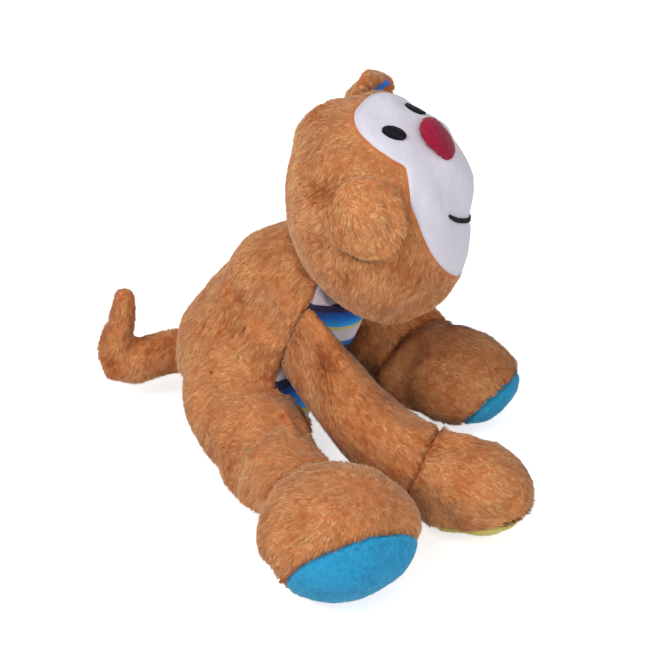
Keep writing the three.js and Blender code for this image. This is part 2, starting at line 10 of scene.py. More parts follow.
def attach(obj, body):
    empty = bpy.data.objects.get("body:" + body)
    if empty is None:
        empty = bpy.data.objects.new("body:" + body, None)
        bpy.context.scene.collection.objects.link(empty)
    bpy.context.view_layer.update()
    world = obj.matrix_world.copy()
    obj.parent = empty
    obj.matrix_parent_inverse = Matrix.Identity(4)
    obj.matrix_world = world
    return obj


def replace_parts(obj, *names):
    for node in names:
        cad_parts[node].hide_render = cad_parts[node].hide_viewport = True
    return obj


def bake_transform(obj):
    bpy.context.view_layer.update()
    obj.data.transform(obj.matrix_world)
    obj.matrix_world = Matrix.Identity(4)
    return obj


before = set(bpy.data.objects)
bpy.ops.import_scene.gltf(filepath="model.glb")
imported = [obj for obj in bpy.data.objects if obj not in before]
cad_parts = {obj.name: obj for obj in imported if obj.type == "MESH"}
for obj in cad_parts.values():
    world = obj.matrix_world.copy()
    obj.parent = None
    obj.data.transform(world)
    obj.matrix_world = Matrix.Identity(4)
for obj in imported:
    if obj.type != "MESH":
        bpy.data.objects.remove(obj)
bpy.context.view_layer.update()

bl_info = {
    "name": "Plush Monkey Dog Toy",
    "version": (1, 0, 0),
    "blender": (4, 5, 0),
    "location": "3D View > Sidebar > Plush Toy",
    "description": "Sewn covers, pile, embroidery and stage of a sitting plush monkey",
    "category": "Add Mesh",
}

MM = 0.001
FLOOR = 0.0
FLOOR_GAP = 0.3 * MM  # kept free under a cover, for its pile
CLOTH_THICKNESS = 0.8 * MM
STUFFING_FRAMES = 20  # of the cloth simulation

# Places and lengths in the toy's frame, in millimetres: it faces -Y and its right is -X.
TORSO_BALLS = (((0, 0, 26.5), 27), ((-1, -6, 39), 28), ((-3, -20.5, 58), 26.5), ((-6, -32, 74), 21.5))
TUMMY_SEAM = ((-3, -29, 57), (-0.1338, -0.9519, -0.2756))
HEAD_PLACE = (-8, -51.3, 104.8)
HEAD_ANGLES = (-22, 8, 13)  # degrees: tilt, lean and turn
HEAD_HALVES = (40.5, 32.5, 42.5)
LIMBS = {
    # root, middle, end's centre, end to its seam, pad's degrees down, centre to pad
    "arm_right": ((-30, -30, 57), (-44.5, -63.7, 29.5), (-47, -97.4, 18), 19, 74, 10.5),
    "arm_left": ((26, -27, 57), (35.4, -51, 20.5), (18.7, -75, 18), 19, 40, 15),
    "leg_right": ((-26, -2, 19.5), (-61.5, -30.8, 20.9), (-93, -59.5, 24.3), 24, 31, 12.4),
    "leg_left": ((26, -2, 19.5), (69, -12, 20.9), (112, -22, 24.3), 24, 31, 12.4),
}
LIMB_NODES = {
    # cover, end, pad and stuffing
    "arm": ("sleeve", "hand", "palm", "arm_stuffing"),
    "leg": ("leg", "foot", "sole", "leg_stuffing"),
}
LIMB_PILES = {
    # colour of the pad, and the first seed of the pile
    "arm_right": ("yellow", 200), "arm_left": ("blue", 220),
    "leg_right": ("blue", 20), "leg_left": ("yellow", 30),
}
BACK, TUMMY = 0, 1  # parts of the trunk
LEG_PARTS = {"leg_right": (2, 4, 6), "leg_left": (3, 5, 7)}  # of the trunk: cover, end and pad
ARM_PARTS = (0, 1, 2)
LEG_RADII = (20, 17, 25)  # at the root, the middle and the foot
LEG_STEP = 5  # a leg's cover begins this much nearer to the leg's form than to the torso's
# Where a form is smoothed: the places, their reach and the steps
HIPS = (((-32, -2, 24), (32, -2, 24)), 30, 40)
COLLAR_FOLDS = (((-22, -26, 81.5), (-22.6, -31.8, 78)), 9, 15)
ARM_SEAMS = {
    # where the torso's side seam takes the arm in: its middle and its run
    "arm_right": ((-25.5, -26, 55), (0, -0.3, 0.95)),
    "arm_left": ((21.5, -24, 55), (0, -0.3, 0.95)),
}
ARM_ROOT_REACH = 34  # how far along an arm it is drawn in to its seam
ARM_ROOT_WIDER, ARM_ROOT_THINNER = 0.75, 0.5  # shares by which its root is spread and flattened

# The face, drawn across and up from the middle of the head
MUZZLE = (0, -0.3, 31.7, 30.6)  # across, up, half width, half height
BROW = (-1.7, 27, 19.7, 14.4)
FACE_MIDDLE = (0, 8)
FACE_EASE = 16  # a smaller value rounds the corner between muzzle and brow more
EYES = {"eye_left": (9.9, 27.9), "eye_right": (-11.1, 31.7)}  # across, up
EYE_HALVES = (3.1, 3.3)
# centre across and up, radius, middle and half of its angle in degrees, half width
SMILE = (7.2, 20.1, 34.3, -107, 33, 0.75)
STITCHES = {"rise": 1.2 * MM, "thick": 1 * MM}  # of the embroidery on the face

EARS = {
    # shift, squash of the height, thickness, and the lining's middle, its axes and its halves
    "left": (
        (-1.1, 1.3, -2.8), 0.8, 1.8,
        (42.3, -38.8, 126), ((0.276, -0.961, 0), (0.565, 0.162, 0.809)), (5, 3.6),
    ),
    "right": (
        (1.9, 0.6, 3.4), 1.0, 1.0,
        (-38.5, -53.5, 121), ((-0.127, 0.992, 0), (0.486, 0.062, 0.867)), (9, 10),
    ),
}
EAR_HALVES = (13, 14.5)
EAR_LINE, EAR_LINE_WIDTH = 0.82, 0.05  # the stitched line, as shares of the way to the edge
EAR_RESTS = (((28.7, -49.9, 123.7), 7.5),)  # where a folded ear's lining lies on the head, and its reach

# Which way the pile lies
NAP_DOWN = (-0.15, 0.4, -0.9)
NAP_HEAD = (-0.2, 0.5, -0.85)
NAP_EARS = (0, -0.5, -0.85)
NAP_NOSE = (0, 0, -1)

# How the stuffing pulls each form away from its plain shape: place, reach and shift
PULLS = {
    "trunk": (
        ((-2, -12, 84), 22, (0.5, 2.1, 1.6)),
        ((-4, 13, 55), 22, (0.2, -3, -0.8)),
        ((-86, -83, 20), 22, (0.6, -2, 0)),
        ((-68, -16, 12), 18, (-1, 1.7, -0.5)),
        ((-10, -24, 14), 22, (-3, -6.5, 0)),
        ((-20, -29, 10), 15, (-3.5, -4.5, 0)),
    ),
    "head": (
        ((8, -76, 124), 26, (1.8, -4, 0.8)),
        ((14, -54, 139), 22, (2.1, -2, 2)),
        ((4.6, -24.4, 131.6), 18, (0.9, 2, 2)),
        ((7, -61, 141.5), 13, (-1, -0.3, -1.5)),
        ((0, -86, 113), 16, (-0.1, 0.4, 0)),
        ((6, -85, 106), 10, (-0.4, 1.7, 0)),
    ),
    "ear_left": (((38, -23, 124), 14, (1.2, -4.2, 0)), ((41.5, -41, 131), 9, (-1.6, 1.8, -1.4))),
    "nose": (((-1, -71, 134), 40, (0.4, -1.4, 0.3)), ((0, -66, 141), 16, (-1.5, 2.2, 1.1))),
    "arm_right": (((-47, -88, 36), 16, (1.1, 0.3, 1.6)), ((-50, -88, 6), 14, (-2.5, 1.5, 0))),
    "arm_left": (
        ((20, -92, 12), 20, (0.5, -2, -0.6)),
        ((25, -48, 12), 24, (-8, 5, -1)),
        ((12, -76, 6), 22, (-4, -0.5, 0)),
    ),
    "tail": (
        ((-10, 54, 12), 16, (-0.3, 1.3, -0.8)),
        ((-4, 36, 20), 14, (0, 0, 1.6)),
        ((-10, 52, 42), 16, (0.4, -1.4, 0)),
    ),
}
# Puckers where the cloth is drawn in: place, reach and depth
PUCKERS = {
    "trunk": (((-24.2, 0, 53.4), 9, 1.6), ((-19.9, -1.2, 63.4), 8, 1.2), ((-27, -14, 33), 10, 1.2)),
    "head": (((-42, -39.1, 112.8), 8, 1.2), ((-35.3, -37.2, 128.3), 9, 1.2), ((-44, -50, 100), 9, 1)),
    "arm_right": (((-36, -39, 54), 11, 2.2), ((-50, -84, 34), 8, 1.2)),
    "arm_left": (((35, -50, 34), 10, 1.5),),
    "tail": (((-14.8, 51.7, 20.3), 6, 1.2), ((-9.1, 38.2, 23.8), 5, 0.9), ((-4, 31, 26), 6, 1)),
}
PUCKER_FOLDS = 5  # around each


def linear(code):
    """A linear RGBA colour from an sRGB hex code."""
    parts = [int(code[i:i + 2], 16) / 255 for i in (1, 3, 5)]
    light = [p / 12.92 if p <= 0.04045 else ((p + 0.055) / 1.055) ** 2.4 for p in parts]
    return (*light, 1.0)


def colour(code, name, description):
    """A colour setting with its sRGB default."""
    return bpy.props.FloatVectorProperty(
        name=name, description=description, subtype="COLOR", size=4,
        min=0, max=1, default=linear(code),
    )


def length(size, name, description):
    """A length setting, given in millimetres."""
    return bpy.props.FloatProperty(
        name=name, description=description, unit="LENGTH", min=0, default=size * MM,
    )


class ToyColours(bpy.types.PropertyGroup):
    """Colours of the toy's fabrics and thread."""

    brown_tip: colour("#e3a972", "Brown tips", "Ends of the brown pile")
    brown_root: colour("#9b4610", "Brown roots", "Depth of the brown pile")
    white: colour("#cbc8d2", "White", "Short nap of the face")
    # painted shade: a darker copy of the white, laid in the hollows of the face's nap
    white_painted_shade: colour("#c2bfca", "White hollows", "Hollows of the face's nap")
    red_tip: colour("#b02047", "Red tips", "Ends of the nose's pile")
    red_root: colour("#80092a", "Red roots", "Depth of the nose's pile")
    blue_tip: colour("#3aaad3", "Blue tips", "Ends of the blue pads' pile")
    blue_root: colour("#1a7dac", "Blue roots", "Depth of the blue pads' pile")
    yellow_tip: colour("#e2d888", "Yellow tips", "Ends of the yellow pads' pile")
    yellow_root: colour("#c3b153", "Yellow roots", "Depth of the yellow pads' pile")
    lining: colour("#2a63c4", "Ear lining", "Smooth cloth inside the ears")
    # painted light: a lighter copy of the lining, laid on the ridges of its cloth
    lining_painted_light: colour("#3f78cf", "Lining ridges", "Ridges of the cloth inside the ears")
    thread: colour("#131218", "Thread", "Embroidery of the eyes and the smile")
    # painted shine: a lighter copy of the thread, laid on the ridges of the stitches
    thread_painted_shine: colour("#1d1c24", "Thread ridges", "Ridges of the embroidery")


class ToySizes(bpy.types.PropertyGroup):
    """Sizes of the toy's fabrics and stuffing."""

    voxel: length(2.6, "Voxel", "Step of the covers' meshes before they are stuffed")
    pile_length: length(2.4, "Pile", "Length of the brown pile")
    pile_width: length(0.36, "Tuft", "Width of one tuft of pile")
    pile_spacing: length(0.46, "Spacing", "Distance between tufts of pile")
    short_length: length(1.2, "Short pile", "Length of the pile on the pads and the nose")
    inset: length(1.2, "Inset", "Room for the pile under the outline of the covers")
    crease: length(1.6, "Crease", "Depth of a seam between two covers")
    swell: length(5, "Swell", "Most that a cover swells when it is stuffed")
    pressure: bpy.props.FloatProperty(
        name="Stuffing", description="Pressure of the stuffing", min=0, default=4.0,
    )
    slack: bpy.props.FloatProperty(
        name="Slack", description="Spare fabric between seams", subtype="FACTOR",
        min=0, max=0.3, default=0.05,
    )


def colours():
    """The toy's colour settings."""
    return bpy.context.scene.toy_colours


def sizes():
    """The toy's size settings."""
    return bpy.context.scene.toy_sizes


def place(values):
    """A point in metres from millimetres."""
    return Vector(values) * MM


def head_frame():
    """From the head's own axes (left, back, crown) to the toy's frame."""
    tilt, lean, turn = (math.radians(a) for a in HEAD_ANGLES)
    frame_at = Matrix.Translation(place(HEAD_PLACE))
    for angle, axis in ((turn, "Z"), (tilt, "X"), (lean, "Y")):
        frame_at = frame_at @ Matrix.Rotation(angle, 4, axis)
    return frame_at


def limb_seams(limb):
    """The planes of a limb's wrist or ankle seam and of its pad's seam."""
    root, middle, centre, back, down, offset = LIMBS[limb]
    root, middle, centre = place(root), place(middle), place(centre)
    along = (centre - middle).normalized()
    level = Vector((centre.x - root.x, centre.y - root.y, 0)).normalized()
    facing = level * math.cos(math.radians(down)) - Vector((0, 0, math.sin(math.radians(down))))
    return (centre - along * back * MM, along), (centre + facing * offset * MM, facing)


# Mesh work

def pick(*objects):
    """Selects these objects alone, the last one active."""
    bpy.ops.object.select_all(action="DESELECT")
    for obj in objects:
        obj.select_set(True)
        bpy.context.view_layer.objects.active = obj


def applied(obj, kind, **settings):
    """Adds one modifier to a piece and applies it."""
    pick(obj)
    modifier = obj.modifiers.new(kind.title(), kind)
    for key, value in settings.items():
        setattr(modifier, key, value)
    bpy.ops.object.modifier_apply(modifier=modifier.name)


def rows_of(items, key, width=3):
    """One property of many mesh items as rows of numbers."""
    rows = np.empty(len(items) * width)
    items.foreach_get(key, rows)
    return rows.reshape(-1, width) if width > 1 else rows


def corners(obj):
    """The places of a mesh's vertices."""
    return rows_of(obj.data.vertices, "co")


def set_corners(obj, rows):
    """Moves a mesh's vertices to new places."""
    obj.data.vertices.foreach_set("co", rows.ravel())
    obj.data.update()


def normals(obj):
    """The normals of a mesh's vertices."""
    return rows_of(obj.data.vertices, "normal")


def note(mesh, name, values):
    """Keeps a number or a row of three for each vertex, as a named attribute."""
    kind, key = ("FLOAT_VECTOR", "vector") if values.ndim > 1 else ("FLOAT", "value")
    mesh.attributes.new(name, kind, "POINT").data.foreach_set(key, values.ravel())


def unit(rows):
    """Rows of three, each scaled to a length of 1."""
    return rows / np.maximum(np.linalg.norm(rows, axis=1, keepdims=True), 1e-9)


def smooth_step(share):
    """Eases a share from 0 to 1 at both ends."""
    share = np.clip(share, 0, 1)
    return share * share * (3 - 2 * share)


def group_weights(obj, name):
    """Each vertex's weight in a group."""
    index = obj.vertex_groups[name].index
    return np.array([
        sum(entry.weight for entry in vertex.groups if entry.group == index)
        for vertex in obj.data.vertices
    ], dtype=float)


def together(objects):
    """Joins objects into the last one."""
    pick(*objects)
    if len(objects) > 1:
        bpy.ops.object.join()
    return bpy.context.object


def node_copy(nodes, hull=False):
    """One new mesh joined from copies of CAD nodes, or the hull around them."""
    copies = []
    for name in nodes:
        copy = bpy.data.objects.new(name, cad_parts[name].data.copy())
        copy.data.materials.clear()
        bpy.context.scene.collection.objects.link(copy)
        copies.append(copy)
    joined = together(copies)
    bpy.ops.object.mode_set(mode="EDIT")
    bpy.ops.mesh.select_all(action="SELECT")
    bpy.ops.mesh.remove_doubles(threshold=0.01 * MM)
    if hull:
        bpy.ops.mesh.convex_hull()
    bpy.ops.object.mode_set(mode="OBJECT")
    return joined


def soft_form(name, parts, voxel, smoothing):
    """One smooth closed skin around joined copies."""
    form = together(parts)
    applied(form, "REMESH", mode="VOXEL", voxel_size=voxel)
    applied(form, "SMOOTH", factor=0.5, iterations=smoothing)
    form.name = name
    form.data.attributes.new("piece", "INT", "FACE")
    form.vertex_groups.new(name="seam")
    return form


def smooth_near(form, spots, reach, steps):
    """Smooths a form around some places."""
    middles = [place(spot) for spot in spots]
    group = form.vertex_groups.new(name="near")
    for vertex in form.data.vertices:
        near = max(1 - (vertex.co - middle).length / (reach * MM) for middle in middles)
        if near > 0:
            group.add([vertex.index], min(1, 2 * near), "REPLACE")
    applied(form, "SMOOTH", factor=0.5, iterations=steps, vertex_group="near")
    form.vertex_groups.remove(form.vertex_groups["near"])


def select_part(form, part):
    """Selects the faces of one part of a form, in object mode, and returns every face's part."""
    pick(form)
    parts = rows_of(form.data.attributes["piece"].data, "value", 1).astype(int)
    for items in (form.data.vertices, form.data.edges):
        items.foreach_set("select", np.zeros(len(items), dtype=bool))
    form.data.polygons.foreach_set("select", parts == part)
    return parts


def sew(form, seam, part, new_part):
    """Cuts a loop along a seam's plane and marks the faces beyond it as a new part."""
    where, normal = seam
    select_part(form, part)
    bpy.ops.object.mode_set(mode="EDIT")
    bpy.ops.mesh.select_mode(type="FACE")
    bpy.ops.mesh.select_mode(type="VERT")
    bpy.ops.mesh.bisect(plane_co=where, plane_no=normal)
    bpy.ops.object.mode_set(mode="OBJECT")
    loop = [v.index for v in form.data.vertices if v.select]
    form.vertex_groups["seam"].add(loop, 1.0, "ADD")
    values = form.data.attributes["piece"].data
    for face in form.data.polygons:
        if values[face.index].value == part and (face.center - where).dot(normal) > 0:
            values[face.index].value = new_part


def stuff(form, swell, inset):
    """Swells a cover between its seams by a cloth simulation, inside the outline it had."""
    start, out = corners(form), normals(form)
    moved = np.zeros_like(start)
    pick(form)
    cloth = form.modifiers.new("Stuffing", "CLOTH")
    fabric = cloth.settings
    fabric.use_pressure = True
    fabric.uniform_pressure_force = sizes().pressure
    fabric.effector_weights.gravity = 0
    fabric.vertex_group_mass = "seam"
    fabric.shrink_min = -sizes().slack
    cloth.point_cache.frame_start = 1
    cloth.point_cache.frame_end = STUFFING_FRAMES
    for step in range(1, STUFFING_FRAMES + 1):
        bpy.context.scene.frame_set(step)
    bpy.ops.object.modifier_apply(modifier=cloth.name)
    bpy.context.scene.frame_set(1)
    moved = corners(form) - start
    far = np.linalg.norm(moved, axis=1, keepdims=True)
    moved *= np.minimum(1, swell / np.maximum(far, 1e-9))
    out = normals(form)
    level = (moved * out).sum(1).mean() + inset
    set_corners(form, start + moved - out * level)


def pull(form, spots):
    """Draws a form out or in, smoothly around some places."""
    rows = corners(form)
    moved = rows.copy()
    for where, reach, shift in spots:
        far = np.linalg.norm(rows - np.array(where) * MM, axis=1) / (reach * MM)
        moved += smooth_step(2 * (1 - far))[:, None] * np.array(shift) * MM
    set_corners(form, moved)


def pucker(form, spots):
    """Draws the cloth in at some places, with folds around each; returns how far it is parted, which
    also sets the pile's painted shade.
    """
    rows, out = corners(form), normals(form)
    moved = rows.copy()
    parted_and_shaded = np.zeros(len(rows))
    for where, reach, depth in spots:
        away = rows - np.array(where) * MM
        far = np.linalg.norm(away, axis=1) / (reach * MM)
        up = out[far.argmin()]
        side = np.cross(up, (0.3, 0.5, 0.8))
        side /= np.linalg.norm(side)
        turn = np.arctan2(away @ np.cross(up, side), away @ side)
        folds = 0.5 + 0.5 * np.cos(PUCKER_FOLDS * turn + np.sin(2 * turn))
        hollow = 0.6 * np.exp(-(2.4 * far) ** 2) + 0.4 * folds * np.exp(-(1.3 * far) ** 2)
        moved -= out * (depth * MM * hollow)[:, None]
        parted_and_shaded = np.maximum(parted_and_shaded, hollow)
    set_corners(form, moved)
    return parted_and_shaded


def finish_form(form, crease=0, puckers=()):
    """Subdivides a stuffed form, draws its seams in, and notes its normals and where its pile is parted,
    with painted shade there.
    """
    applied(form, "SUBSURF", levels=1, render_levels=1)
    seams = group_weights(form, "seam")
    uneven = 1 + 0.5 * ripple(corners(form), 6 * MM, 77)
    set_corners(form, corners(form) - normals(form) * (seams * uneven * crease)[:, None])
    # seams and puckers part the pile: it is lifted there and painted in shade
    parted_and_shaded = np.maximum(pucker(form, puckers), 0.6 * seams)
    rows = corners(form)
    rows[:, 2] = np.maximum(rows[:, 2], FLOOR + FLOOR_GAP)
    set_corners(form, rows)
    form.vertex_groups.clear()
    note(form.data, "out", normals(form))
    note(form.data, "parted_and_shaded", parted_and_shaded)


def taken_off(form, part, name, capped=True):
    """Separates one part of a form as a closed piece that keeps the form's own shading."""
    parts = select_part(form, part)
    piece = form
    if not (parts == part).all():
        bpy.ops.object.mode_set(mode="EDIT")
        bpy.ops.mesh.select_mode(type="FACE")
        bpy.ops.mesh.separate(type="SELECTED")
        bpy.ops.object.mode_set(mode="OBJECT")
        piece = next(o for o in bpy.context.selected_objects if o != form)
    piece.name = piece.data.name = name
    pick(piece)
    bpy.ops.object.mode_set(mode="EDIT")
    bpy.ops.mesh.select_all(action="SELECT")
    if capped:
        bpy.ops.mesh.fill_holes(sides=0)
    bpy.ops.mesh.normals_make_consistent(inside=False)
    bpy.ops.object.mode_set(mode="OBJECT")
    bpy.ops.object.shade_smooth()
    if not capped:
        applied(piece, "SOLIDIFY", thickness=CLOTH_THICKNESS, offset=-1)
    piece.data.attributes.remove(piece.data.attributes["piece"])
    out = rows_of(piece.data.attributes["out"].data, "vector")
    piece.data.normals_split_custom_set_from_vertices(out)
    return piece


# Pile

MOST_TUFTS = 48000  # in one piece
CLUMP_SHARE = 0.09  # of the tufts, which the others are drawn to
CLUMP_STRETCH = 0.6  # how far clumps run on along the nap
CLUMP_PULL = (0.15, 0.5)  # least and most that a tip is drawn
TUFT_LENGTHS = (0.75, 1.15)  # least and most, as shares of the pile's length
TUFT_DEPTH = 0.35 * MM  # under the skin
RISE_LIMITS = (0.12, 1.4)  # radians between a tuft and the skin


def ripple(points, size, seed):
    """A smooth random field over points, from -1 to 1, with waves of about that size."""
    draw = np.random.default_rng(seed)
    total = np.zeros(len(points))
    for _ in range(7):
        axis = draw.normal(size=3)
        axis *= 2 * math.pi / (size * np.linalg.norm(axis) * draw.uniform(0.7, 1.6))
        total += np.sin(points @ axis + draw.uniform(0, 2 * math.pi))
    return total / 4


def scattered(skin, spacing, draw):
    """Random places on a skin with their normals and how far the pile is parted there, which also sets
    its painted shade.
    """
    mesh = skin.data
    mesh.calc_loop_triangles()
    tri = rows_of(mesh.loop_triangles, "vertices").astype(int)
    points = corners(skin)
    out = rows_of(mesh.attributes["out"].data, "vector")
    parted_and_shaded = rows_of(mesh.attributes["parted_and_shaded"].data, "value", 1)
    a, b, c = (points[tri[:, i]] for i in range(3))
    cross = np.cross(b - a, c - a)
    area = np.linalg.norm(cross, axis=1) / 2
    area *= (cross * out[tri].mean(1)).sum(1) > 0.6 * area  # not on caps, rims or insides
    number = int(area.sum() / spacing ** 2)
    chosen = tri[draw.choice(len(tri), size=number, p=area / area.sum())]
    u, v = np.sqrt(draw.random(number)), draw.random(number)
    share = np.stack([1 - u, u * (1 - v), u * v], axis=1)
    root = (points[chosen] * share[:, :, None]).sum(1)
    normal = unit((out[chosen] * share[:, :, None]).sum(1))
    return root, normal, (parted_and_shaded[chosen] * share).sum(1)


def clumps(root, lay, draw):
    """For each tuft, the tuft that its neighbours are drawn to, in streaks along the nap."""
    heads = np.flatnonzero(draw.random(len(root)) < CLUMP_SHARE)
    packed = root - lay * (CLUMP_STRETCH * (root * lay).sum(1, keepdims=True))
    tree = kdtree.KDTree(len(heads))
    for i, head in enumerate(heads):
        tree.insert(packed[head], i)
    tree.balance()
    return np.array([heads[tree.find(p)[1]] for p in packed])


def grow_pile(skin, material, nap, tall, painted_light_shift, seed, keep=None):
    """Plants tufts of pile all over a skin, laid along the nap, in one or more new pieces."""
    s = sizes()
    draw = np.random.default_rng(seed)
    root, normal, parted_and_shaded = scattered(skin, s.pile_spacing, draw)
    wanted = root[:, 2] > FLOOR + 0.35 * tall
    if keep is not None:
        wanted &= keep(root)
    root, normal, parted_and_shaded = root[wanted], normal[wanted], parted_and_shaded[wanted]
    number = len(root)
    nap = np.array(nap, dtype=float)
    lay = np.tile(nap, (number, 1))
    lay = unit(lay - normal * (lay * normal).sum(1, keepdims=True))
    across = np.cross(normal, lay)
    swing = 0.5 * ripple(root, 30 * MM, 901) + 0.3 * ripple(root, 8 * MM, 902)
    swing += draw.normal(scale=0.15, size=number)
    lay = lay * np.cos(swing)[:, None] + across * np.sin(swing)[:, None]
    rise = 0.26 + 0.15 * ripple(root, 12 * MM, 903) + 0.5 * parted_and_shaded + draw.normal(scale=0.1, size=number)
    rise = np.clip(rise, *RISE_LIMITS)[:, None]
    way = lay * np.cos(rise) + normal * np.sin(rise)
    tip = root + way * tall * draw.uniform(*TUFT_LENGTHS, (number, 1))
    head = clumps(root, nap / np.linalg.norm(nap), draw)
    tip += (tip[head] - tip) * draw.uniform(*CLUMP_PULL, (number, 1))
    tip[:, 2] = np.maximum(tip[:, 2], FLOOR + 0.1 * MM)
    own = draw.random(number) - 0.5
    # the tone is shifted for each piece: painted light, paler on the head and ears that face the light,
    # darker on the arms and tail
    # where the pile is parted, at seams and puckers, the tone drops: painted shade in those creases
    tone = 0.5 + painted_light_shift + 0.3 * own + 0.55 * own[head] + 0.18 * ripple(root, 17 * MM, 904) - 0.6 * parted_and_shaded
    tone = np.clip(tone, 0, 1)
    way = unit(tip - root)
    across = unit(np.cross(way, normal))
    base, half = root - normal * TUFT_DEPTH, s.pile_width / 2
    feet = [base + side * half for side in (across, -across, np.cross(across, way))]
    tufts = np.stack([*feet, tip], axis=1)
    order = np.argsort(root[:, 0], kind="stable")
    return [
        pile_piece(f"{skin.name}_pile_{i}", material, tufts[part], normal[part], tone[part])
        for i, part in enumerate(np.array_split(order, math.ceil(number / MOST_TUFTS)), 1)
    ]


def pile_piece(name, material, tufts, normal, tone):
    """One mesh of closed three-sided tufts, with its own bake map."""
    number = len(tufts)
    faces = np.array([(0, 1, 3), (1, 2, 3), (2, 0, 3), (1, 0, 2)])
    mesh = bpy.data.meshes.new(name)
    mesh.vertices.add(number * 4)
    mesh.vertices.foreach_set("co", tufts.ravel())
    mesh.loops.add(number * 12)
    mesh.loops.foreach_set("vertex_index", (np.arange(number)[:, None, None] * 4 + faces).ravel())
    mesh.polygons.add(number * 4)
    mesh.polygons.foreach_set("loop_start", np.arange(number * 4) * 3)
    mesh.polygons.foreach_set("use_smooth", np.ones(number * 4, dtype=bool))
    mesh.update(calc_edges=True)
    note(mesh, "along", np.tile([0.0, 0.0, 0.0, 1.0], number))
    note(mesh, "tone", np.repeat(tone, 4))
    cells = math.ceil(math.sqrt(number))
    spots = np.array([(0.1, 0.1), (0.9, 0.1), (0.5, 0.4), (0.5, 0.9)])
    corner = np.stack([np.arange(number) % cells, np.arange(number) // cells], axis=1)
    uv = (corner[:, None, None, :] + spots[faces]) / cells
    mesh.uv_layers.new(name="OFBake").uv.foreach_set("vector", uv.astype(np.float32).ravel())
    mesh.normals_split_custom_set_from_vertices(np.repeat(normal, 4, axis=0))
    mesh.materials.append(material)
    pile = bpy.data.objects.new(name, mesh)
    bpy.context.scene.collection.objects.link(pile)
    return pile


# Materials

WAVE_RATE = 20  # radians per unit of length that a wave texture runs at scale 1


def node(tree, kind, links=(), values=(), **settings):
    """Adds a shader node with its settings, its input values and its links."""
    made = tree.nodes.new("ShaderNode" + kind)
    for key, value in settings.items():
        setattr(made, key, value)
    for socket, value in values:
        made.inputs[socket].default_value = value
    for socket, source in links:
        tree.links.new(source, made.inputs[socket])
    return made


def blank(name, roughness, specular=0.2):
    """A new material with one Principled shader, and that shader."""
    material = bpy.data.materials.new(name)
    material.use_nodes = True
    shader = material.node_tree.nodes["Principled BSDF"]
    shader.inputs["Roughness"].default_value = roughness
    shader.inputs["Specular IOR Level"].default_value = specular
    return material, material.node_tree, shader


def mixed(tree, shader, share, low, high):
    """Colours a shader between two colours by a share."""
    mix = node(tree, "Mix", [(0, share)], [(6, low), (7, high)], data_type="RGBA")
    tree.links.new(mix.outputs[2], shader.inputs["Base Color"])


def bumped(tree, shader, height, depth):
    """Gives a shader a relief."""
    bump = node(tree, "Bump", [("Height", height)], [("Distance", depth)])
    tree.links.new(bump.outputs[0], shader.inputs["Normal"])


def texture(tree, kind, *values, **settings):
    """A texture over a piece's own coordinates."""
    where = node(tree, "TexCoord")
    return node(tree, kind, [("Vector", where.outputs["Object"])], values, **settings)


def times_plus(tree, value, factor, extra, **settings):
    """A value times a number, plus a number or another value."""
    links, values = [(0, value)], [(1, factor)]
    (values if isinstance(extra, float) else links).append((2, extra))
    return node(tree, "Math", links, values, operation="MULTIPLY_ADD", **settings).outputs[0]


def plush_pile(name, root, tip):
    """Polyester plush, cut pile: deep colour at the roots, paler ends, brushed in tufts."""
    material, tree, shader = blank(name, 0.9)
    along = node(tree, "Attribute", attribute_name="along")
    tone = node(tree, "Attribute", attribute_name="tone")
    deep = times_plus(tree, along.outputs["Fac"], 0.4, -0.12)
    mixed(tree, shader, times_plus(tree, tone.outputs["Fac"], 0.85, deep, use_clamp=True), root, tip)
    shader.inputs["Sheen Weight"].default_value = 0.15
    shader.inputs["Sheen Roughness"].default_value = 0.5
    return material


def cloth(name, low, high, grain, depth):
    """Short-napped or knitted polyester: soft and dull, with a fine uneven grain."""
    material, tree, shader = blank(name, 0.95)
    noise = texture(tree, "TexNoise", ("Scale", 1 / grain), ("Detail", 3))
    # the colour follows the relief, low in the grain's hollows and high on its ridges: painted shade and
    # light on the grain
    mixed(tree, shader, noise.outputs[0], low, high)
    bumped(tree, shader, noise.outputs[0], depth)
    shader.inputs["Sheen Weight"].default_value = 0.1
    return material


def embroidery():
    """Rayon thread in satin stitch: black, with a soft shine along the stitches, from the shader and
    from a shine painted on their ridges.
    """
    material, tree, shader = blank("satin_stitch_thread", 0.75, 0.06)
    lines = texture(tree, "TexWave", ("Scale", 1 / (WAVE_RATE * 0.5 * MM)))
    # the stitches' ridges take the lighter thread colour: painted shine
    mixed(tree, shader, lines.outputs["Fac"], colours().thread, colours().thread_painted_shine)
    bumped(tree, shader, lines.outputs["Fac"], 0.1 * MM)
    return material


STRIPES = (
    # share of one repeat from its top, and the colour there
    (0.00, "#2f8f86"), (0.02, "#2f8f86"), (0.03, "#a2969d"), (0.205, "#a2969d"),
    (0.215, "#242038"), (0.295, "#242038"), (0.305, "#213068"), (0.41, "#1f69c4"),
    (0.515, "#37a0e6"), (0.525, "#c8c06a"), (0.555, "#c8c06a"), (0.565, "#c6c3cb"),
    (0.73, "#c6c3cb"), (0.74, "#3069b2"), (0.80, "#2a63b0"), (0.81, "#242f45"),
)
STRIPE_TOP = 72.2  # mm
STRIPE_REPEAT = 37
STRIPE_SWAY = 2
STRIPE_SLOPE = 0.3  # they drop from the toy's left to its right


